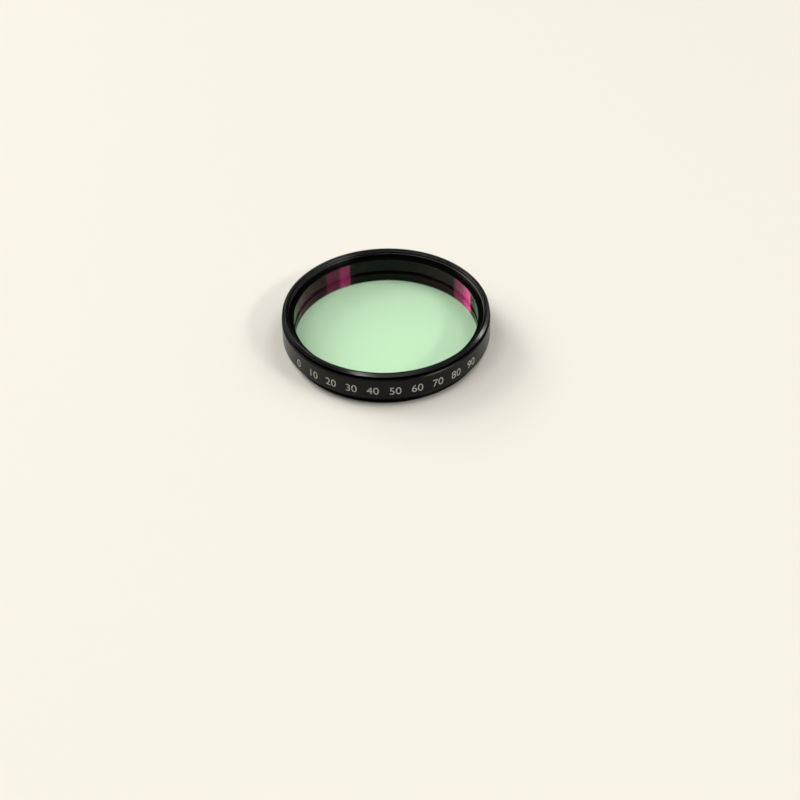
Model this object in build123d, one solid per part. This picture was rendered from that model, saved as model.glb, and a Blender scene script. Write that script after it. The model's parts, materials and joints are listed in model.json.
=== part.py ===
from build123d import *
import math
import os

# A mounted telescope filter: a coated glass disc held in a turned, black anodised cell.
# Sizes are in millimetres. +Z points up the optical axis, from the threaded spigot to the
# knurled front rim, and the origin is on the axis at the spigot's lower end.

# Filter thread, of one size on the spigot and in the front recess
THREAD_R = 24.0
THREAD_PITCH = 0.75
THREAD_HEIGHT_RATIO = 0.5413  # height of an internal thread over its pitch

# Outside of the cell, from the bottom up
SPIGOT_H = 2.4
SPIGOT_LEAD = 0.3
BAND_STEP = 1.3  # how far the band stands out from the thread
BAND_H = 5.6
BAND_FOOT_CHAMFER = 0.3
BAND_HEAD_CHAMFER = 0.25
GROOVE_STEP = 0.35  # groove bottom, out from the thread
GROOVE_H = 1.0

# Knurled rim, a bevel with straight V teeth that run up and in
RIM_H = 0.6
KNURL_STEP = 1.25  # tooth tips at the bevel's foot, out from the thread
BEVEL_W = 0.7  # how far the bevel leans in over its height
KNURL_DEPTH = 0.2
KNURL_PITCH = 0.45

# Inside of the cell
MOUTH_STEP = 0.05  # widest part of the front mouth, out from the thread
MOUTH_CHAMFER_H = 0.5
RECESS_DEPTH = 2.1
SPIGOT_WALL = 0.9
POCKET_LEAD = 0.15

# Glass disc
GLASS_T = 2.0
GLASS_CLEARANCE = 0.1
GLASS_CHAMFER = 0.2
SEAT_W = 0.6  # width of glass that bears on the shoulder

# Retaining ring
RING_H = 2.0
RING_W = 0.75
RING_CLEARANCE = 0.05
RING_INSET = 0.3
RING_CHAMFER = 0.1
NOTCH_COUNT = 2
NOTCH_W = 1.6
NOTCH_DEPTH = 0.8

# Radii that follow from the values above
band_r = THREAD_R + BAND_STEP
groove_r = THREAD_R + GROOVE_STEP
knurl_tip_r = THREAD_R + KNURL_STEP
rim_top_r = knurl_tip_r - BEVEL_W
mouth_r = THREAD_R + MOUTH_STEP
recess_r = THREAD_R - THREAD_HEIGHT_RATIO * THREAD_PITCH
pocket_r = THREAD_R - SPIGOT_WALL
glass_r = pocket_r - GLASS_CLEARANCE
aperture_r = glass_r - SEAT_W
ring_outer_r = pocket_r - RING_CLEARANCE
ring_inner_r = ring_outer_r - RING_W

# Heights that follow from the values above
band_top = SPIGOT_H + BAND_H
rim_foot = band_top + GROOVE_H
rim_top = rim_foot + RIM_H
ledge = rim_top - RECESS_DEPTH
ring_top = RING_INSET + RING_H
shoulder = ring_top + GLASS_T


def turned(points):
    """Solid of revolution about Z, from corner points given as radius and height."""
    corners = [(radius, 0, height) for radius, height in points]
    return revolve(make_face(Polyline(*corners, close=True)), axis=Axis.Z)


def star(tip_r, height):
    """Corners of the knurl's outline at one height. It keeps its shape as it shrinks up the bevel."""
    teeth = round(2 * math.pi * knurl_tip_r / KNURL_PITCH)
    root_r = tip_r * (1 - KNURL_DEPTH / knurl_tip_r)
    corners = []
    for index in range(2 * teeth):
        radius = root_r if index % 2 else tip_r
        angle = math.pi * index / teeth
        corners.append((radius * math.cos(angle), radius * math.sin(angle), height))
    return corners


def knurled_rim():
    """Disc with a bevelled edge, its V teeth running from the widest edge up to the top face."""
    lower = star(knurl_tip_r, rim_foot)
    upper = star(rim_top_r, rim_top)
    faces = [make_face(Polyline(*lower, close=True)), make_face(Polyline(*upper, close=True))]
    for index in range(len(lower)):
        following = (index + 1) % len(lower)
        flank = (lower[index], lower[following], upper[following], upper[index])
        faces.append(make_face(Polyline(*flank, close=True)))
    return Solid(Shell([made.face() for made in faces]))


def lower_blank():
    """Outside of the cell below the rim: spigot, plain band and relief groove."""
    return turned([
        (0, 0),
        (THREAD_R - SPIGOT_LEAD, 0),
        (THREAD_R, SPIGOT_LEAD),
        (THREAD_R, SPIGOT_H),
        (band_r - BAND_FOOT_CHAMFER, SPIGOT_H),
        (band_r, SPIGOT_H + BAND_FOOT_CHAMFER),
        (band_r, band_top - BAND_HEAD_CHAMFER),
        (band_r - BAND_HEAD_CHAMFER, band_top),
        (groove_r, band_top),
        (groove_r, rim_foot),
        (0, rim_foot),
    ])


def bored_out():
    """Space inside the cell: front recess, clear aperture and the pocket for glass and ring."""
    return turned([
        (0, 0),
        (pocket_r + POCKET_LEAD, 0),
        (pocket_r, POCKET_LEAD),
        (pocket_r, shoulder),
        (aperture_r, shoulder),
        (aperture_r, ledge),
        (recess_r, ledge),
        (recess_r, rim_top - MOUTH_CHAMFER_H),
        (mouth_r, rim_top),
        (0, rim_top),
    ])


def filter_cell():
    """The one turned and knurled ring that everything else sits in."""
    return lower_blank() + knurled_rim() - bored_out()


def filter_glass():
    """Flat disc with ground edges, held up against the shoulder of the pocket."""
    return turned([
        (0, ring_top),
        (glass_r - GLASS_CHAMFER, ring_top),
        (glass_r, ring_top + GLASS_CHAMFER),
        (glass_r, shoulder - GLASS_CHAMFER),
        (glass_r - GLASS_CHAMFER, shoulder),
        (0, shoulder),
    ])


def retaining_ring():
    """Ring that screws in behind the glass, with notches for a spanner in its lower face."""
    ring = turned([
        (ring_inner_r, RING_INSET),
        (ring_outer_r - RING_CHAMFER, RING_INSET),
        (ring_outer_r, RING_INSET + RING_CHAMFER),
        (ring_outer_r, ring_top - RING_CHAMFER),
        (ring_outer_r - RING_CHAMFER, ring_top),
        (ring_inner_r, ring_top),
    ])
    notch_length = 2 * RING_W
    notch = Pos((ring_inner_r + ring_outer_r) / 2, 0, RING_INSET) * Box(
        notch_length, NOTCH_W, 2 * NOTCH_DEPTH)
    for index in range(NOTCH_COUNT):
        ring -= Rot(0, 0, 360 * index / NOTCH_COUNT) * notch
    return ring


os.makedirs("parts", exist_ok=True)
export_step(filter_cell(), "parts/filter_cell.step")
export_step(filter_glass(), "parts/filter_glass.step")
export_step(retaining_ring(), "parts/retaining_ring.step")
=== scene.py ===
import json
import math

import bmesh
import bpy
from mathutils import Matrix, Vector


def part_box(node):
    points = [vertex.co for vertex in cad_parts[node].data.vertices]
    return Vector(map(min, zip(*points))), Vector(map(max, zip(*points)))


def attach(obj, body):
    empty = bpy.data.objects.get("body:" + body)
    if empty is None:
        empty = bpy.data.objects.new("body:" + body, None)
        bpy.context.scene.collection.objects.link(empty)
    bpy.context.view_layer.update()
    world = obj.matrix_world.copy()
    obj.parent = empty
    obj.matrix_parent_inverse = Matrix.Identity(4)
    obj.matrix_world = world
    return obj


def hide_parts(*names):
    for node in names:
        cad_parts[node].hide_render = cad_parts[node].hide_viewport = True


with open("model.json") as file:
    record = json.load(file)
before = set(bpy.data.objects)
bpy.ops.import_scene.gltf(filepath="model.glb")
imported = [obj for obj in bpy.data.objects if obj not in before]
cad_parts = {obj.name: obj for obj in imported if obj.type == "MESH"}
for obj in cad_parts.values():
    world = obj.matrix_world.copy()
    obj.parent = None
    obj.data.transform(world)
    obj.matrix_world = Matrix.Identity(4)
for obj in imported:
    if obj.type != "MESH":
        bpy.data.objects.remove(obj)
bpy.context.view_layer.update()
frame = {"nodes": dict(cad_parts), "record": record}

bl_info = {
    "name": "Mounted Telescope Filter",
    "version": (1, 0, 0),
    "blender": (4, 5, 0),
    "location": "View3D > Sidebar > Filter",
    "description": "Dresses a turned filter cell, its coated glass and its retaining ring",
    "category": "Object",
}

MM = 0.001
ROOT = "root"
ROUND_STEPS = 384
TOUCHING = 0.001 * MM  # points nearer than this count as one
MARK_WIDTH = 0.08 * MM
MARK_HEIGHT = 0.6e-6
FINE_MARK_HEIGHT = 0.15e-6
CLOUD_SIZE = 4 * MM
PATCH_SIZE = 1.2 * MM
GLASS_IOR = 1.52
FLOOR_R = 20.0


def mount_radius(name):
    """Radius of one of the record's round mounts, in metres."""
    for mount in frame["record"]["mounts"]:
        if mount["name"] == name:
            return mount["dims"]["r_mm"] * MM
    raise ValueError("the record has no mount named " + name)


CELL_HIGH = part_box("filter_cell")[1]
GLASS_LOW, GLASS_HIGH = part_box("filter_glass")


# Property groups


def length(name, description, default):
    """A size in metres, shown in the user's own units."""
    return bpy.props.FloatProperty(name=name, description=description, default=default,
                                   min=0.0, precision=5, unit="LENGTH")


def share(name, description, default, top=1.0):
    """A number from 0 up to top."""
    return bpy.props.FloatProperty(name=name, description=description, default=default,
                                   min=0.0, max=top, subtype="FACTOR")


def colour(name, description, default):
    """A linear colour."""
    return bpy.props.FloatVectorProperty(name=name, description=description, default=default,
                                         size=3, min=0.0, max=1.0, subtype="COLOR")


def angle(name, description, degrees):
    """An angle, given here in degrees."""
    return bpy.props.FloatProperty(name=name, description=description,
                                   default=math.radians(degrees), subtype="ANGLE")


class CellSizes(bpy.types.PropertyGroup):
    """Sizes of the turned cell, in metres."""

    thread_r: length("Thread radius", "Outer radius of the spigot's thread",
                     mount_radius("spigot_thread"))
    recess_r: length("Recess radius", "Inner radius of the front thread",
                     mount_radius("front_thread"))
    thread_pitch: length("Thread pitch", "Rise of both threads in one turn", 0.75 * MM)
    spigot_h: length("Spigot height", "From the lower end to the band", 2.4 * MM)
    spigot_lead: length("Spigot lead", "Chamfer at the spigot's end", 0.3 * MM)
    band_h: length("Band height", "Height of the plain band", 5.6 * MM)
    foot_chamfer: length("Foot chamfer", "Chamfer at the band's lower edge", 0.3 * MM)
    head_chamfer: length("Head chamfer", "Chamfer at the band's upper edge", 0.25 * MM)
    groove_h: length("Groove height", "Height of the relief groove", 1.0 * MM)
    groove_step: length("Groove step", "Groove bottom, out from the thread", 0.35 * MM)
    knurl_step: length("Knurl step", "Tooth tips at the bevel's foot, out from the thread", 1.25 * MM)
    bevel_w: length("Bevel width", "How far the knurled bevel leans in", 0.7 * MM)
    knurl_depth: length("Knurl depth", "Depth of the knurl's V grooves", 0.2 * MM)
    knurl_pitch: length("Knurl pitch", "Distance from tooth to tooth", 0.45 * MM)
    mouth_step: length("Mouth step", "Front mouth, out from the thread", 0.05 * MM)
    mouth_h: length("Mouth height", "Height of the mouth's chamfer", 0.5 * MM)
    recess_depth: length("Recess depth", "From the front rim to the ledge", 2.1 * MM)
    aperture_step: length("Aperture step", "Clear aperture, in from the glass edge", 0.6 * MM)
    spigot_wall: length("Spigot wall", "From the pocket out to the thread", 0.9 * MM)
    pocket_lead: length("Pocket lead", "Chamfer at the pocket's mouth", 0.15 * MM)
    edge_round: length("Edge rounding", "Rounding left on turned corners", 0.035 * MM)


class CellFinish(bpy.types.PropertyGroup):
    """Colours and gloss of the anodised pieces and of the paint in the numerals."""

    dye: colour("Dye", "Colour of the black anodising", (0.0020, 0.0019, 0.0015))
    worn: colour("Worn edge", "Colour where an edge has rubbed", (0.05, 0.048, 0.045))
    outside_roughness: share("Outside roughness", "Roughness of band and knurl", 0.24)
    bore_roughness: share("Bore roughness", "Roughness of the bore above the glass", 0.1)
    paint: colour("Numeral paint", "Colour of the paint in the numerals", (0.52, 0.50, 0.45))


class GlassLook(bpy.types.PropertyGroup):
    """Size and colours of the coated glass."""

    edge_chamfer: length("Edge chamfer", "Ground chamfer round the disc", 0.2 * MM)
    through_face_on: colour("Seen straight through", "Tint at the disc's face", (0.89, 1.0, 0.92))
    through_slanted: colour("Seen at a slant", "Tint at a shallow angle", (0.74, 1.0, 0.81))
    mirror_face_on: colour("Mirrored straight on", "What the coated face mirrors", (0.12, 0.010, 0.042))
    mirror_slanted: colour("Mirrored at a slant", "The same at a shallow angle", (0.90, 0.0, 0.28))


class NumeralSizes(bpy.types.PropertyGroup):
    """The row of plain numbers on the band."""

    cap_h: length("Height", "Height of a numeral", 2.2 * MM)
    proud: length("Proud", "How far the paint stands out of the band", 0.008 * MM)
    depth: length("Depth", "How deep the paint goes in", 0.05 * MM)
    first_at: angle("First at", "Angle of the first number from the front", -56)
    step: angle("Step", "Angle from number to number", 12)
    count: bpy.props.IntProperty(name="Count", description="How many numbers", default=10, min=1)
    unit_step: bpy.props.IntProperty(name="Value step", description="Value from number to number",
                                     default=10, min=1)


class StageLook(bpy.types.PropertyGroup):
    """Floor, light and camera."""

    floor: colour("Floor", "Colour of the floor", (0.80, 0.765, 0.68))
    fill: share("Fill light", "Strength of the even light from all round", 0.02)
    camera_distance: length("Camera distance", "From the origin to the camera", 0.49033)
    camera_elevation: angle("Camera elevation", "Height of the camera over the floor", 39.12)
    camera_pitch: angle("Camera pitch", "How far the camera looks down", 40.86)
    camera_yaw: angle("Camera yaw", "Turn of the camera to the right", 0.45)
    camera_roll: angle("Camera roll", "Tilt of the camera", -1.16)
    focal: bpy.props.FloatProperty(name="Focal length", description="Focal length on a 36 mm frame",
                                   default=90.0, min=1.0, unit="CAMERA")


# Meshes


def new_piece(name, mesh):
    """Links a finished mesh as a piece that rides on the only body."""
    piece = bpy.data.objects.new(name, mesh)
    bpy.context.scene.collection.objects.link(piece)
    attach(piece, ROOT)
    return piece


def rounded_outline(corners, rounding, sharp_height):
    """Closed outline with each corner made an arc, and with points beside it that hold the flats.

    Corners are radius and height, and those at the sharp height get a far smaller arc. Each point
    of the result also says if it lies on an outside edge.
    """
    arc_steps = 3
    side_share = 0.3
    sharp_share = 0.1
    hold_share = 1.5
    followers = corners[1:] + corners[:1]
    turning = sum(here[0] * ahead[1] - ahead[0] * here[1] for here, ahead in zip(corners, followers))
    outline = []
    for i, corner in enumerate(corners):
        here = Vector(corner)
        back = Vector(corners[i - 1]) - here
        ahead = Vector(followers[i]) - here
        reach = min(rounding, side_share * back.length, side_share * ahead.length)
        if abs(here.y - sharp_height) < TOUCHING:
            reach = rounding * sharp_share
        start = here + back.normalized() * reach
        end = here + ahead.normalized() * reach
        cross = ahead.x * back.y - ahead.y * back.x
        outside = cross * turning > 0
        outline.append((here + back.normalized() * reach * hold_share, False))
        for step in range(arc_steps + 1):
            t = step / arc_steps
            point = start * (1 - t) ** 2 + here * 2 * t * (1 - t) + end * t ** 2
            outline.append((point, outside))
        outline.append((here + ahead.normalized() * reach * hold_share, False))
    return outline


def turned_mesh(name, corners, rounding, sharp_height, material):
    """Closed ring turned about Z. Its edge attribute is 1 along outside edges."""
    outline = rounded_outline(corners, rounding, sharp_height)
    mesh = bpy.data.meshes.new(name)
    work = bmesh.new()
    edge_layer = work.verts.layers.float.new("edge")
    rings = []
    for step in range(ROUND_STEPS):
        turn = 2 * math.pi * step / ROUND_STEPS
        ring = []
        for point, outside in outline:
            vert = work.verts.new((point.x * math.cos(turn), point.x * math.sin(turn), point.y))
            vert[edge_layer] = 1.0 if outside else 0.0
            ring.append(vert)
        rings.append(ring)
    for step, ring in enumerate(rings):
        following = rings[(step + 1) % ROUND_STEPS]
        for i in range(len(ring)):
            j = (i + 1) % len(ring)
            work.faces.new((ring[i], ring[j], following[j], following[i]))
    bmesh.ops.recalc_face_normals(work, faces=work.faces)
    for face in work.faces:
        face.smooth = True
    work.to_mesh(mesh)
    work.free()
    mesh.materials.append(material)
    return mesh


def disc_mesh(name, radius, low, high, chamfer, material):
    """Closed disc with ground chamfers, from rings of points and two flat faces."""
    rims = [(radius - chamfer, low), (radius, low + chamfer),
            (radius, high - chamfer), (radius - chamfer, high)]
    turns = [2 * math.pi * step / ROUND_STEPS for step in range(ROUND_STEPS)]
    mesh = bpy.data.meshes.new(name)
    work = bmesh.new()
    rings = []
    for rim_radius, height in rims:
        points = [(rim_radius * math.cos(t), rim_radius * math.sin(t), height) for t in turns]
        rings.append([work.verts.new(point) for point in points])
    for lower, upper in zip(rings, rings[1:]):
        for i in range(ROUND_STEPS):
            j = (i + 1) % ROUND_STEPS
            work.faces.new((lower[i], lower[j], upper[j], upper[i]))
    work.faces.new(list(reversed(rings[0])))
    work.faces.new(rings[-1])
    bmesh.ops.recalc_face_normals(work, faces=work.faces)
    work.to_mesh(mesh)
    work.free()
    mesh.materials.append(material)
    return mesh


# Node trees for what repeats


def node_tree(name, sockets):
    """A geometry tree with a Geometry output and the named inputs, and its input and output nodes."""
    tree = bpy.data.node_groups.new(name, "GeometryNodeTree")
    tree.interface.new_socket(name="Geometry", in_out="OUTPUT", socket_type="NodeSocketGeometry")
    for label, kind in sockets:
        tree.interface.new_socket(name=label, in_out="INPUT", socket_type="NodeSocket" + kind)
    return tree, tree.nodes.new("NodeGroupInput"), tree.nodes.new("NodeGroupOutput")


def add_node(tree, kind, values=None, **settings):
    """A node with its settings, and its unlinked sockets set by name."""
    node = tree.nodes.new(kind)
    for key, value in settings.items():
        setattr(node, key, value)
    for key, value in (values or {}).items():
        node.inputs[key].default_value = value
    return node


def maths(tree, operation, first, second):
    """A Math node. Each side is a socket to link or a plain number."""
    node = add_node(tree, "ShaderNodeMath", operation=operation)
    for socket, side in zip(node.inputs, (first, second)):
        if isinstance(side, (int, float)):
            socket.default_value = side
        else:
            tree.links.new(side, socket)
    return node.outputs[0]


def finish_tree(tree, geometry, group_in, group_out):
    """Ends a tree in Realize Instances and Set Material."""
    realize = add_node(tree, "GeometryNodeRealizeInstances")
    paint = add_node(tree, "GeometryNodeSetMaterial")
    tree.links.new(geometry, realize.inputs["Geometry"])
    tree.links.new(realize.outputs[0], paint.inputs["Geometry"])
    tree.links.new(group_in.outputs["Material"], paint.inputs["Material"])
    tree.links.new(paint.outputs[0], group_out.inputs[0])


def lifted(tree, geometry, height):
    """Moves a geometry up by a height."""
    lift = add_node(tree, "ShaderNodeCombineXYZ")
    tree.links.new(height, lift.inputs["Z"])
    raised = add_node(tree, "GeometryNodeTransform")
    tree.links.new(geometry, raised.inputs["Geometry"])
    tree.links.new(lift.outputs[0], raised.inputs["Translation"])
    return raised.outputs[0]


def own_height(tree):
    """Height of each point in the geometry that the value is used on."""
    apart = add_node(tree, "ShaderNodeSeparateXYZ")
    tree.links.new(add_node(tree, "GeometryNodeInputPosition").outputs[0], apart.inputs[0])
    return apart.outputs["Z"]


def drawn_in(tree, geometry, factor):
    """Scales a geometry's points across the axis by a factor and leaves their heights."""
    scale = add_node(tree, "ShaderNodeCombineXYZ", {"Z": 1.0})
    tree.links.new(factor, scale.inputs["X"])
    tree.links.new(factor, scale.inputs["Y"])
    scaled = add_node(tree, "ShaderNodeVectorMath", operation="MULTIPLY")
    tree.links.new(add_node(tree, "GeometryNodeInputPosition").outputs[0], scaled.inputs[0])
    tree.links.new(scale.outputs[0], scaled.inputs[1])
    placed = add_node(tree, "GeometryNodeSetPosition")
    tree.links.new(geometry, placed.inputs["Geometry"])
    tree.links.new(scaled.outputs[0], placed.inputs["Position"])
    return placed.outputs[0]


def knurl_tooth(tree, given):
    """One tooth: a four-sided bar as long as the rim is high, with tapered ends."""
    end_taper = 0.25
    end_height = 0.499
    bar_sections = 12
    bar = add_node(tree, "GeometryNodeMeshCylinder",
                   {"Vertices": 4, "Side Segments": bar_sections, "Radius": 1.0})
    tree.links.new(given["Height"], bar.inputs["Depth"])
    from_middle = maths(tree, "ABSOLUTE", own_height(tree), 0.0)
    at_end = maths(tree, "GREATER_THAN", from_middle, maths(tree, "MULTIPLY", given["Height"], end_height))
    shrink = maths(tree, "SUBTRACT", 1.0, maths(tree, "MULTIPLY", at_end, 1 - end_taper))
    half_round = maths(tree, "MULTIPLY", given["Root radius"], math.pi)
    shape = add_node(tree, "ShaderNodeCombineXYZ", {"Z": 1.0})
    tree.links.new(given["Depth"], shape.inputs["X"])
    tree.links.new(maths(tree, "DIVIDE", half_round, given["Teeth"]), shape.inputs["Y"])
    tooth = add_node(tree, "GeometryNodeTransform")
    tree.links.new(drawn_in(tree, bar.outputs["Mesh"], shrink), tooth.inputs["Geometry"])
    tree.links.new(shape.outputs[0], tooth.inputs["Scale"])
    return tooth.outputs[0]


def knurl_tree():
    """Straight knurl: V teeth, each a bar set half into the rim, that lean in towards the top."""
    tree, group_in, group_out = node_tree("Straight knurl", [
        ("Teeth", "Int"), ("Root radius", "Float"), ("Depth", "Float"),
        ("Foot", "Float"), ("Height", "Float"), ("Top scale", "Float"), ("Material", "Material")])
    given = group_in.outputs
    circle = add_node(tree, "GeometryNodeMeshCircle")
    tree.links.new(given["Teeth"], circle.inputs["Vertices"])
    tree.links.new(given["Root radius"], circle.inputs["Radius"])
    outwards = add_node(tree, "FunctionNodeAlignRotationToVector", axis="X")
    tree.links.new(add_node(tree, "GeometryNodeInputPosition").outputs[0], outwards.inputs["Vector"])
    spread = add_node(tree, "GeometryNodeInstanceOnPoints")
    tree.links.new(circle.outputs[0], spread.inputs["Points"])
    tree.links.new(knurl_tooth(tree, given), spread.inputs["Instance"])
    tree.links.new(outwards.outputs[0], spread.inputs["Rotation"])
    whole = add_node(tree, "GeometryNodeRealizeInstances")
    tree.links.new(spread.outputs[0], whole.inputs["Geometry"])
    up = maths(tree, "ADD", 0.5, maths(tree, "DIVIDE", own_height(tree), given["Height"]))
    most_lean = maths(tree, "SUBTRACT", 1.0, given["Top scale"])
    lean = maths(tree, "SUBTRACT", 1.0, maths(tree, "MULTIPLY", up, most_lean))
    leaning = drawn_in(tree, whole.outputs[0], lean)
    middle = maths(tree, "ADD", given["Foot"], maths(tree, "MULTIPLY", given["Height"], 0.5))
    finish_tree(tree, lifted(tree, leaning, middle), group_in, group_out)
    return tree


def thread_tree():
    """Helical thread ridge with 60 degree flanks and a flat crest, on the inside or outside of a wall.

    Side is 1 for a ridge that points to the axis and -1 for one that points away from it.
    """
    run_out = 0.1
    least_scale = 0.02
    steps_per_turn = 160
    crest_share = 0.2
    sunk_share = 0.49
    flank_angle = math.radians(30)
    tree, group_in, group_out = node_tree("Helical thread", [
        ("Wall radius", "Float"), ("Side", "Float"), ("Pitch", "Float"), ("Turns", "Float"),
        ("Depth", "Float"), ("Foot", "Float"), ("Material", "Material")])
    given = group_in.outputs
    spiral = add_node(tree, "GeometryNodeCurveSpiral", {"Resolution": steps_per_turn})
    tree.links.new(given["Turns"], spiral.inputs["Rotations"])
    tree.links.new(given["Wall radius"], spiral.inputs["Start Radius"])
    tree.links.new(given["Wall radius"], spiral.inputs["End Radius"])
    tree.links.new(maths(tree, "MULTIPLY", given["Turns"], given["Pitch"]), spiral.inputs["Height"])
    upright = add_node(tree, "GeometryNodeSetCurveNormal", mode="Z_UP")
    tree.links.new(spiral.outputs[0], upright.inputs["Curve"])
    along = add_node(tree, "GeometryNodeSplineParameter").outputs["Factor"]
    to_end = maths(tree, "MINIMUM", along, maths(tree, "SUBTRACT", 1.0, along))
    rising = maths(tree, "DIVIDE", to_end, run_out)
    fade = maths(tree, "MAXIMUM", least_scale, maths(tree, "MINIMUM", 1.0, rising))
    section = add_node(tree, "GeometryNodeCurvePrimitiveQuadrilateral", mode="TRAPEZOID")
    section.inputs["Offset"].default_value = 0.0
    crest = maths(tree, "MULTIPLY", given["Pitch"], crest_share)
    flanks = maths(tree, "MULTIPLY", given["Depth"], 2 * math.tan(flank_angle))
    tree.links.new(crest, section.inputs["Top Width"])
    tree.links.new(maths(tree, "ADD", crest, flanks), section.inputs["Bottom Width"])
    tree.links.new(given["Depth"], section.inputs["Height"])
    quarter_turn = add_node(tree, "ShaderNodeCombineXYZ")
    tree.links.new(maths(tree, "MULTIPLY", given["Side"], -math.pi / 2), quarter_turn.inputs["Z"])
    onto_wall = add_node(tree, "ShaderNodeCombineXYZ")
    half_depth = maths(tree, "MULTIPLY", given["Depth"], sunk_share)
    tree.links.new(maths(tree, "MULTIPLY", given["Side"], half_depth), onto_wall.inputs["X"])
    placed = add_node(tree, "GeometryNodeTransform")
    tree.links.new(section.outputs[0], placed.inputs["Geometry"])
    tree.links.new(quarter_turn.outputs[0], placed.inputs["Rotation"])
    tree.links.new(onto_wall.outputs[0], placed.inputs["Translation"])
    ridge = add_node(tree, "GeometryNodeCurveToMesh", {"Fill Caps": True})
    tree.links.new(upright.outputs[0], ridge.inputs["Curve"])
    tree.links.new(placed.outputs[0], ridge.inputs["Profile Curve"])
    tree.links.new(fade, ridge.inputs["Scale"])
    finish_tree(tree, lifted(tree, ridge.outputs[0], given["Foot"]), group_in, group_out)
    return tree


def mesh_from_tree(name, tree, values):
    """Runs a tree with its inputs set by identifier, and gives the result as a plain mesh."""
    holder = bpy.data.objects.new(name + "_source", bpy.data.meshes.new(name + "_source"))
    bpy.context.scene.collection.objects.link(holder)
    modifier = holder.modifiers.new("Nodes", "NODES")
    modifier.node_group = tree
    for item in tree.interface.items_tree:
        if item.in_out == "INPUT":
            modifier[item.identifier] = values[item.name]
    holder.update_tag()
    graph = bpy.context.evaluated_depsgraph_get()
    mesh = bpy.data.meshes.new_from_object(holder.evaluated_get(graph), depsgraph=graph)
    mesh.name = name
    holder.modifiers.remove(modifier)
    bpy.data.objects.remove(holder)
    return mesh


# Shader groups


def shader_group(name, inputs, outputs):
    """A shader group with its sockets, and its input and output nodes."""
    tree = bpy.data.node_groups.new(name, "ShaderNodeTree")
    for label, kind, default in inputs:
        socket = tree.interface.new_socket(name=label, in_out="INPUT", socket_type="NodeSocket" + kind)
        if default is not None:
            socket.default_value = default
    for label, kind in outputs:
        tree.interface.new_socket(name=label, in_out="OUTPUT", socket_type="NodeSocket" + kind)
    return tree, tree.nodes.new("NodeGroupInput"), tree.nodes.new("NodeGroupOutput")


def turned_grain_group():
    """Fine tool marks that run round the axis, and a slow cloudiness across them."""
    found = bpy.data.node_groups.get("Turned grain")
    if found:
        return found
    tree, group_in, group_out = shader_group(
        "Turned grain",
        [("Vector", "Vector", None), ("Mark width", "Float", MARK_WIDTH),
         ("Cloud size", "Float", CLOUD_SIZE)],
        [("Height", "Float"), ("Cloud", "Float")])
    given = group_in.outputs
    apart = add_node(tree, "ShaderNodeSeparateXYZ")
    tree.links.new(given["Vector"], apart.inputs[0])
    square_x = maths(tree, "MULTIPLY", apart.outputs["X"], apart.outputs["X"])
    square_y = maths(tree, "MULTIPLY", apart.outputs["Y"], apart.outputs["Y"])
    radius = maths(tree, "SQRT", maths(tree, "ADD", square_x, square_y), 0.0)
    across = add_node(tree, "ShaderNodeCombineXYZ")
    tree.links.new(maths(tree, "DIVIDE", radius, given["Mark width"]), across.inputs["X"])
    tree.links.new(maths(tree, "DIVIDE", apart.outputs["Z"], given["Mark width"]), across.inputs["Y"])
    marks = add_node(tree, "ShaderNodeTexNoise", {"Scale": 1.0, "Detail": 2.0, "Roughness": 0.6})
    tree.links.new(across.outputs[0], marks.inputs["Vector"])
    tree.links.new(marks.outputs[0], group_out.inputs["Height"])
    cloud = add_node(tree, "ShaderNodeTexNoise", {"Detail": 3.0, "Roughness": 0.55})
    tree.links.new(given["Vector"], cloud.inputs["Vector"])
    tree.links.new(maths(tree, "DIVIDE", 1.0, given["Cloud size"]), cloud.inputs["Scale"])
    tree.links.new(cloud.outputs[0], group_out.inputs["Cloud"])
    return tree


def edge_wear_group():
    """Mask for rubbed outside edges, broken up by noise, from the mesh's edge attribute."""
    found = bpy.data.node_groups.get("Edge wear")
    if found:
        return found
    tree, group_in, group_out = shader_group(
        "Edge wear",
        [("Vector", "Vector", None), ("Amount", "Float", 0.5), ("Patch size", "Float", PATCH_SIZE)],
        [("Mask", "Float")])
    given = group_in.outputs
    edge = add_node(tree, "ShaderNodeAttribute", attribute_name="edge")
    patches = add_node(tree, "ShaderNodeTexNoise", {"Detail": 4.0, "Roughness": 0.6})
    tree.links.new(given["Vector"], patches.inputs["Vector"])
    tree.links.new(maths(tree, "DIVIDE", 1.0, given["Patch size"]), patches.inputs["Scale"])
    broken = maths(tree, "MULTIPLY", edge.outputs["Fac"], patches.outputs[0])
    tree.links.new(maths(tree, "MULTIPLY", broken, given["Amount"]), group_out.inputs["Mask"])
    return tree


def use_group(tree, group, **values):
    """Places a shader group in a material and sets its unlinked inputs."""
    node = tree.nodes.new("ShaderNodeGroup")
    node.node_tree = group
    for key, value in values.items():
        node.inputs[key.replace("_", " ")].default_value = value
    return node


def mixed_colour(tree, factor, first, second):
    """A colour mixed between two plain colours by a socket."""
    mix = add_node(tree, "ShaderNodeMix", data_type="RGBA")
    tree.links.new(factor, mix.inputs["Factor"])
    mix.inputs["A"].default_value = (*first, 1.0)
    mix.inputs["B"].default_value = (*second, 1.0)
    return next(s for s in mix.outputs if s.type == "RGBA")


def mapped(tree, value, low, high):
    """Spreads a value from 0..1 over low..high."""
    node = add_node(tree, "ShaderNodeMapRange", {"To Min": low, "To Max": high})
    tree.links.new(value, node.inputs["Value"])
    return node.outputs[0]


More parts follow.
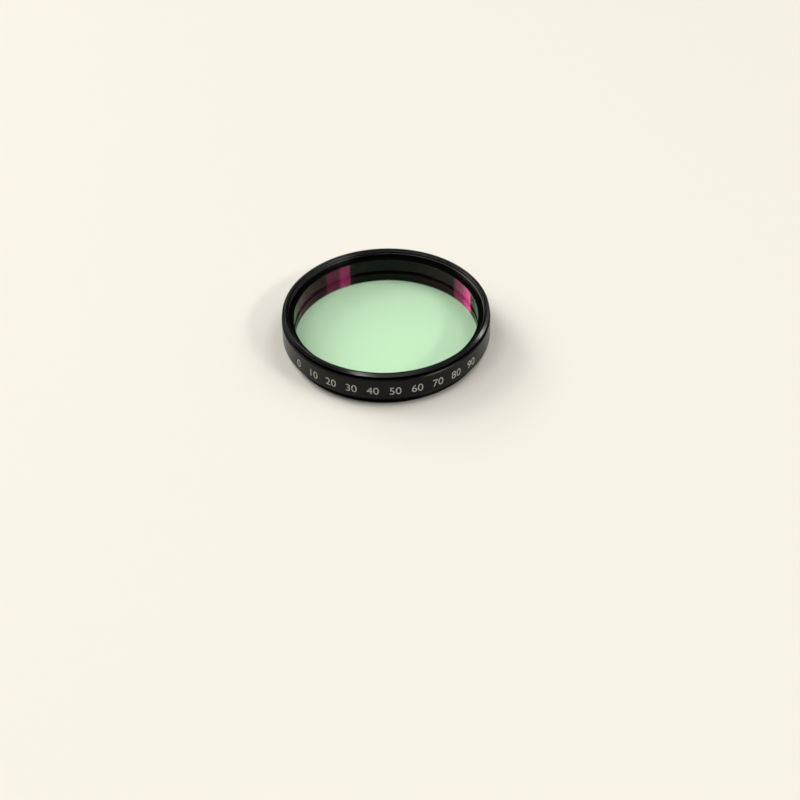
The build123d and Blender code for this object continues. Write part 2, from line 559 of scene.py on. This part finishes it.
def anodised(name, dye, worn, roughness, specular, mark_height, wear):
    """Black anodised aluminium: dyed skin, tool marks under it, cloudy gloss and rubbed edges."""
    unevenness = 0.2
    material = bpy.data.materials.new(name)
    material.use_nodes = True
    tree = material.node_tree
    shader = tree.nodes["Principled BSDF"]
    place = add_node(tree, "ShaderNodeTexCoord").outputs["Object"]
    grain = use_group(tree, turned_grain_group(), Mark_width=MARK_WIDTH, Cloud_size=CLOUD_SIZE)
    rubbed = use_group(tree, edge_wear_group(), Amount=wear, Patch_size=PATCH_SIZE)
    tree.links.new(place, grain.inputs["Vector"])
    tree.links.new(place, rubbed.inputs["Vector"])
    tree.links.new(mixed_colour(tree, rubbed.outputs["Mask"], dye, worn), shader.inputs["Base Color"])
    gloss = mapped(tree, grain.outputs["Cloud"], roughness * (1 - unevenness), roughness * (1 + unevenness))
    tree.links.new(gloss, shader.inputs["Roughness"])
    bump = add_node(tree, "ShaderNodeBump", {"Strength": 1.0, "Distance": mark_height})
    tree.links.new(grain.outputs["Height"], bump.inputs["Height"])
    tree.links.new(bump.outputs[0], shader.inputs["Normal"])
    shader.inputs["Specular IOR Level"].default_value = specular
    return material


def coated_glass(name, look, coated):
    """Dichroic glass: green to look through, clear to lamplight, and a magenta mirror where coated."""
    slant_blend = 0.35
    material = bpy.data.materials.new(name)
    material.use_nodes = True
    tree = material.node_tree
    shader = tree.nodes["Principled BSDF"]
    facing = add_node(tree, "ShaderNodeLayerWeight", {"Blend": slant_blend}).outputs["Facing"]
    tint = mixed_colour(tree, facing, look.through_face_on, look.through_slanted)
    tree.links.new(tint, shader.inputs["Base Color"])
    shader.inputs["Roughness"].default_value = 0.0
    shader.inputs["IOR"].default_value = GLASS_IOR
    shader.inputs["Transmission Weight"].default_value = 1.0
    shader.inputs["Specular Tint"].default_value = (0.0, 0.0, 0.0, 1.0)
    seen = shader.outputs[0]
    if coated:
        mirror = add_node(tree, "ShaderNodeBsdfGlossy", {"Roughness": 0.0})
        tone = mixed_colour(tree, facing, look.mirror_face_on, look.mirror_slanted)
        tree.links.new(tone, mirror.inputs["Color"])
        both = add_node(tree, "ShaderNodeAddShader")
        tree.links.new(seen, both.inputs[0])
        tree.links.new(mirror.outputs[0], both.inputs[1])
        seen = both.outputs[0]
    passing = add_node(tree, "ShaderNodeBsdfTransparent")
    tree.links.new(tint, passing.inputs["Color"])
    path = add_node(tree, "ShaderNodeLightPath").outputs
    lighting = maths(tree, "MAXIMUM", path["Is Shadow Ray"], path["Is Diffuse Ray"])
    switch = add_node(tree, "ShaderNodeMixShader")
    tree.links.new(lighting, switch.inputs["Fac"])
    tree.links.new(seen, switch.inputs[1])
    tree.links.new(passing.outputs[0], switch.inputs[2])
    tree.links.new(switch.outputs[0], tree.nodes["Material Output"].inputs["Surface"])
    return material


def numeral_paint(look):
    """Pale paint rubbed into the numerals, a little uneven."""
    speck_scale = 4000.0
    thin_share = 0.55
    material = bpy.data.materials.new("numeral_paint")
    material.use_nodes = True
    tree = material.node_tree
    shader = tree.nodes["Principled BSDF"]
    place = add_node(tree, "ShaderNodeTexCoord").outputs["Object"]
    specks = add_node(tree, "ShaderNodeTexNoise", {"Scale": speck_scale, "Detail": 3.0})
    tree.links.new(place, specks.inputs["Vector"])
    thin_paint = [channel * thin_share for channel in look.paint]
    tone = mixed_colour(tree, specks.outputs[0], thin_paint, look.paint)
    tree.links.new(tone, shader.inputs["Base Color"])
    tree.links.new(mapped(tree, specks.outputs[0], 0.45, 0.65), shader.inputs["Roughness"])
    return material


# Operators


def aperture_radius(size):
    """Radius of the bore above the glass."""
    return GLASS_HIGH.x - size.aperture_step


def ledge_height(size):
    """Height of the ledge at the bottom of the front recess."""
    return CELL_HIGH.z - size.recess_depth


def rim_foot_height(size):
    """Height at which the knurled rim starts."""
    return size.spigot_h + size.band_h + size.groove_h


def knurl_radii(size):
    """Radii of the teeth's tips and roots at the rim's foot, and the scale of both at its top."""
    tip_r = size.thread_r + size.knurl_step
    return tip_r, tip_r - size.knurl_depth, 1 - size.bevel_w / tip_r


def cell_corners(size):
    """Corners of the cell's section as radius and height, from the pocket's mouth outwards."""
    thread_depth = size.thread_r - size.recess_r
    spigot_root_r = size.thread_r - thread_depth
    pocket_r = size.thread_r - size.spigot_wall
    aperture_r = aperture_radius(size)
    band_r = CELL_HIGH.x
    band_top = size.spigot_h + size.band_h
    groove_r = size.thread_r + size.groove_step
    rim_foot = rim_foot_height(size)
    rim_top = CELL_HIGH.z
    root_r, top_scale = knurl_radii(size)[1:]
    ledge = ledge_height(size)
    return [
        (pocket_r + size.pocket_lead, 0.0),
        (size.thread_r - size.spigot_lead - thread_depth * 0.3, 0.0),
        (spigot_root_r, size.spigot_lead),
        (spigot_root_r, size.spigot_h),
        (band_r - size.foot_chamfer, size.spigot_h),
        (band_r, size.spigot_h + size.foot_chamfer),
        (band_r, band_top - size.head_chamfer),
        (band_r - size.head_chamfer, band_top),
        (groove_r, band_top),
        (groove_r, rim_foot),
        (root_r, rim_foot),
        (root_r * top_scale, rim_top),
        (size.thread_r + size.mouth_step, rim_top),
        (size.thread_r, rim_top - size.mouth_step),
        (size.thread_r, ledge),
        (aperture_r, ledge),
        (aperture_r, GLASS_HIGH.z),
        (pocket_r, GLASS_HIGH.z),
        (pocket_r, size.pocket_lead),
    ]


def set_inner_materials(mesh, size):
    """Gives the faces of the bore the mesh's second material, and the recess wall its third."""
    bore_reach = aperture_radius(size) + 0.1 * MM
    bore_foot = GLASS_HIGH.z - 0.01 * MM
    wall_reach = size.thread_r + size.mouth_step
    wall_foot = ledge_height(size) + 0.05 * MM
    for face in mesh.polygons:
        reach = math.hypot(face.center.x, face.center.y)
        if reach < bore_reach and face.center.z > bore_foot:
            face.material_index = 1
        elif reach < wall_reach and face.center.z > wall_foot:
            face.material_index = 2


def add_knurl(size, material):
    """Adds the teeth of the knurled rim."""
    tip_r, root_r, top_scale = knurl_radii(size)
    rim_foot = rim_foot_height(size)
    teeth = round(2 * math.pi * tip_r / size.knurl_pitch)
    knurl = mesh_from_tree("knurl_teeth", knurl_tree(), {
        "Teeth": teeth, "Root radius": root_r, "Depth": size.knurl_depth, "Foot": rim_foot,
        "Height": CELL_HIGH.z - rim_foot, "Top scale": top_scale, "Material": material})
    new_piece("knurl_teeth", knurl)


def add_threads(size, outside, cut):
    """Adds the helix on the spigot and the one in the front recess."""
    tree = thread_tree()
    thread_depth = size.thread_r - size.recess_r
    clear = size.thread_pitch * 0.5
    spigot_turns = (size.spigot_h - size.spigot_lead - clear) / size.thread_pitch
    spigot = mesh_from_tree("spigot_thread", tree, {
        "Wall radius": size.thread_r - thread_depth, "Side": -1.0, "Pitch": size.thread_pitch,
        "Turns": spigot_turns, "Depth": thread_depth, "Foot": size.spigot_lead, "Material": outside})
    new_piece("spigot_thread", spigot)
    front_turns = (size.recess_depth - size.mouth_h * 0.5 - clear) / size.thread_pitch
    front = mesh_from_tree("front_thread", tree, {
        "Wall radius": size.thread_r, "Side": 1.0, "Pitch": size.thread_pitch, "Turns": front_turns,
        "Depth": thread_depth, "Foot": ledge_height(size) + clear, "Material": cut})
    new_piece("front_thread", front)


class FILTER_OT_cell(bpy.types.Operator):
    """Turn the cell: spigot, band, groove, knurled rim, recess, bore and both threads"""

    bl_idname = "filter_parts.cell"
    bl_label = "Make the Cell"

    def execute(self, context):
        size = context.scene.filter_cell
        look = context.scene.filter_finish
        outside = anodised("anodised_outside", look.dye, look.worn, look.outside_roughness,
                           specular=0.14, mark_height=MARK_HEIGHT, wear=0.5)
        bore = anodised("anodised_bore", look.dye, look.worn, look.bore_roughness,
                        specular=0.15, mark_height=FINE_MARK_HEIGHT, wear=0.3)
        cut = anodised("anodised_cut", look.dye, look.worn, look.outside_roughness,
                       specular=0.55, mark_height=MARK_HEIGHT, wear=0.0)
        mesh = turned_mesh("cell_ring", cell_corners(size), size.edge_round, GLASS_HIGH.z, outside)
        mesh.materials.append(bore)
        mesh.materials.append(cut)
        set_inner_materials(mesh, size)
        ring = new_piece("cell_ring", mesh)
        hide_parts("filter_cell")
        add_knurl(size, cut)
        add_threads(size, outside, cut)
        return {"FINISHED"}


class FILTER_OT_glass(bpy.types.Operator):
    """Make the coated glass disc"""

    bl_idname = "filter_parts.glass"
    bl_label = "Make the Glass"

    def execute(self, context):
        upward = 0.9
        look = context.scene.filter_glass
        coated = coated_glass("coated_glass", look, coated=True)
        mesh = disc_mesh("glass_disc", GLASS_HIGH.x, GLASS_LOW.z, GLASS_HIGH.z,
                         look.edge_chamfer, coated)
        mesh.materials.append(coated_glass("bare_glass", look, coated=False))
        for face in mesh.polygons:
            if face.normal.z < upward:
                face.material_index = 1
        disc = new_piece("glass_disc", mesh)
        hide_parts("filter_glass")
        return {"FINISHED"}


class FILTER_OT_ring(bpy.types.Operator):
    """Give the retaining ring behind the glass its finish"""

    bl_idname = "filter_parts.ring"
    bl_label = "Finish the Retaining Ring"

    def execute(self, context):
        look = context.scene.filter_finish
        material = anodised("anodised_ring", look.dye, look.worn, look.outside_roughness,
                            specular=0.12, mark_height=MARK_HEIGHT, wear=0.0)
        for slot in frame["nodes"]["retaining_ring"].material_slots:
            slot.material = material
        return {"FINISHED"}


class FILTER_OT_numerals(bpy.types.Operator):
    """Set a row of plain numbers into the band"""

    bl_idname = "filter_parts.numerals"
    bl_label = "Make the Numerals"

    def execute(self, context):
        size = context.scene.filter_numerals
        cell = context.scene.filter_cell
        middle_share = 0.47
        middle = cell.spigot_h + cell.band_h * middle_share
        work = bmesh.new()
        for index in range(size.count):
            turn = size.first_at + index * size.step
            add_label(work, str(index * size.unit_step), size, turn, middle)
        mesh = bpy.data.meshes.new("band_numerals")
        work.to_mesh(mesh)
        work.free()
        mesh.materials.append(numeral_paint(context.scene.filter_finish))
        new_piece("band_numerals", mesh)
        return {"FINISHED"}


def add_label(work, words, size, turn, middle):
    """Adds one number to the mesh in work, cut into narrow strips and bent round the band."""
    strip = 0.3 * MM
    cap_share = 0.73
    curve = bpy.data.curves.new("label", "FONT")
    curve.body = words
    curve.align_x = "CENTER"
    curve.size = size.cap_h / cap_share
    curve.extrude = (size.depth + size.proud) / 2
    holder = bpy.data.objects.new("label", curve)
    bpy.context.scene.collection.objects.link(holder)
    graph = bpy.context.evaluated_depsgraph_get()
    flat = bpy.data.meshes.new_from_object(holder.evaluated_get(graph), depsgraph=graph)
    bpy.data.objects.remove(holder)
    bpy.data.curves.remove(curve)
    label = bmesh.new()
    label.from_mesh(flat)
    bpy.data.meshes.remove(flat)
    bmesh.ops.remove_doubles(label, verts=label.verts, dist=TOUCHING)
    left = min(v.co.x for v in label.verts)
    right = max(v.co.x for v in label.verts)
    for cut in range(1, int((right - left) / strip) + 1):
        everything = label.verts[:] + label.edges[:] + label.faces[:]
        bmesh.ops.bisect_plane(label, geom=everything, plane_co=(left + cut * strip, 0, 0),
                               plane_no=(1, 0, 0))
    band_r = CELL_HIGH.x
    outer_r = band_r + size.proud
    for vert in label.verts:
        radius = outer_r + vert.co.z - (size.depth + size.proud) / 2
        around = turn + vert.co.x / band_r
        height = middle + vert.co.y - size.cap_h / 2
        vert.co = (radius * math.sin(around), -radius * math.cos(around), height)
    bent = bpy.data.meshes.new("bent")
    label.to_mesh(bent)
    label.free()
    work.from_mesh(bent)
    bpy.data.meshes.remove(bent)


class FILTER_OT_stage(bpy.types.Operator):
    """Lay the floor, and set the light and the camera"""

    bl_idname = "filter_parts.stage"
    bl_label = "Make the Stage"

    def execute(self, context):
        look = context.scene.filter_stage
        add_floor(look)
        add_world(look)
        for panel in PANELS:
            add_panel(*panel)
        add_camera(look)
        context.scene.view_settings.view_transform = "Standard"
        return {"FINISHED"}


def add_floor(look):
    """A large pale disc under the filter."""
    mesh = bpy.data.meshes.new("floor")
    work = bmesh.new()
    bmesh.ops.create_circle(work, cap_ends=True, segments=96, radius=FLOOR_R)
    work.to_mesh(mesh)
    work.free()
    floor = bpy.data.objects.new("floor", mesh)
    bpy.context.scene.collection.objects.link(floor)
    material = bpy.data.materials.new("floor")
    material.use_nodes = True
    shader = material.node_tree.nodes["Principled BSDF"]
    shader.inputs["Base Color"].default_value = (*look.floor, 1.0)
    shader.inputs["Roughness"].default_value = 0.7
    shader.inputs["Specular IOR Level"].default_value = 0.2
    mesh.materials.append(material)


def add_world(look):
    """Even neutral light from all round."""
    world = bpy.data.worlds.new("studio")
    bpy.context.scene.world = world
    world.use_nodes = True
    world.node_tree.nodes["Background"].inputs["Color"].default_value = (1.0, 1.0, 1.0, 1.0)
    world.node_tree.nodes["Background"].inputs["Strength"].default_value = look.fill


def direction(azimuth, elevation):
    """Unit vector towards an azimuth, counted from the front to the right, and an elevation."""
    around = math.radians(azimuth)
    up = math.radians(elevation)
    return Vector((math.sin(around) * math.cos(up), -math.cos(around) * math.cos(up), math.sin(up)))


# Soft panels: name, azimuth and elevation of the middle, width and height in degrees, radiance
PANELS = (
    ("right_front", 52.5, 39, 11.7, 6, 28.0),
    ("right_front_soft", 70, 39, 15.6, 6, 8.0),
    ("left_back", -126.5, 39, 13, 3, 13.0),
    ("left_back_soft", -108, 39, 16, 3, 5.0),
    ("left_window", -118, 38, 30, 32, 4.5),
    ("left_low", -143, 24, 20, 14, 6.0),
    ("left_front", -25, 62, 36, 20, 2.4),
    ("left_side", -65, 40, 36, 30, 0.6),
    ("right_side", 105, 40, 56, 40, 0.8),
    ("top_left", -90, 68, 30, 20, 3.0),
    ("top_right", 90, 68, 30, 20, 4.0),
)


def add_panel(name, azimuth, elevation, wide, high, radiance):
    """A soft panel that looks at the filter and spans wide by high degrees as the filter sees it."""
    distance = 2.0
    light = bpy.data.lights.new(name, "AREA")
    light.shape = "RECTANGLE"
    light.size = 2 * distance * math.tan(math.radians(wide / 2))
    light.size_y = 2 * distance * math.tan(math.radians(high / 2))
    light.energy = radiance * math.pi * light.size * light.size_y
    lamp = bpy.data.objects.new(name, light)
    bpy.context.scene.collection.objects.link(lamp)
    towards = direction(azimuth, elevation)
    lamp.location = towards * distance
    lamp.rotation_euler = towards.to_track_quat("Z", "Y").to_euler()


def add_camera(look):
    """The camera at the photograph's angle."""
    data = bpy.data.cameras.new("camera")
    data.lens = look.focal
    data.sensor_width = 36.0
    data.clip_start = 0.01
    camera = bpy.data.objects.new("camera", data)
    bpy.context.scene.collection.objects.link(camera)
    elevation = look.camera_elevation
    pitch = look.camera_pitch
    yaw = look.camera_yaw
    forward = Vector((math.sin(yaw) * math.cos(pitch), math.cos(yaw) * math.cos(pitch), -math.sin(pitch)))
    level = Vector((math.cos(yaw), -math.sin(yaw), 0.0))
    upright = level.cross(forward)
    right = level * math.cos(look.camera_roll) + upright * math.sin(look.camera_roll)
    above = upright * math.cos(look.camera_roll) - level * math.sin(look.camera_roll)
    turn = Matrix((right, above, -forward)).transposed().to_4x4()
    place = Vector((0.0, -math.cos(elevation), math.sin(elevation))) * look.camera_distance
    camera.matrix_world = Matrix.Translation(place) @ turn
    bpy.context.scene.camera = camera


class FILTER_PT_sidebar(bpy.types.Panel):
    """The filter's pieces, in the order they are made"""

    bl_idname = "FILTER_PT_sidebar"
    bl_label = "Telescope Filter"
    bl_space_type = "VIEW_3D"
    bl_region_type = "UI"
    bl_category = "Filter"

    def draw(self, context):
        for operator in OPERATORS:
            self.layout.operator(operator.bl_idname)


GROUPS = (
    ("filter_cell", CellSizes),
    ("filter_finish", CellFinish),
    ("filter_glass", GlassLook),
    ("filter_numerals", NumeralSizes),
    ("filter_stage", StageLook),
)
OPERATORS = (FILTER_OT_cell, FILTER_OT_glass, FILTER_OT_ring, FILTER_OT_numerals, FILTER_OT_stage)


def register():
    """Registers the property groups, the operators and the panel."""
    for name, group in GROUPS:
        bpy.utils.register_class(group)
        setattr(bpy.types.Scene, name, bpy.props.PointerProperty(type=group))
    for operator in OPERATORS:
        bpy.utils.register_class(operator)
    bpy.utils.register_class(FILTER_PT_sidebar)


def unregister():
    """Takes everything that register added back out."""
    bpy.utils.unregister_class(FILTER_PT_sidebar)
    for operator in reversed(OPERATORS):
        bpy.utils.unregister_class(operator)
    for name, group in reversed(GROUPS):
        delattr(bpy.types.Scene, name)
        bpy.utils.unregister_class(group)


def main():
    register()
    bpy.ops.filter_parts.cell()
    bpy.ops.filter_parts.glass()
    bpy.ops.filter_parts.ring()
    bpy.ops.filter_parts.numerals()
    bpy.ops.filter_parts.stage()


if __name__ == "__main__":
    main()
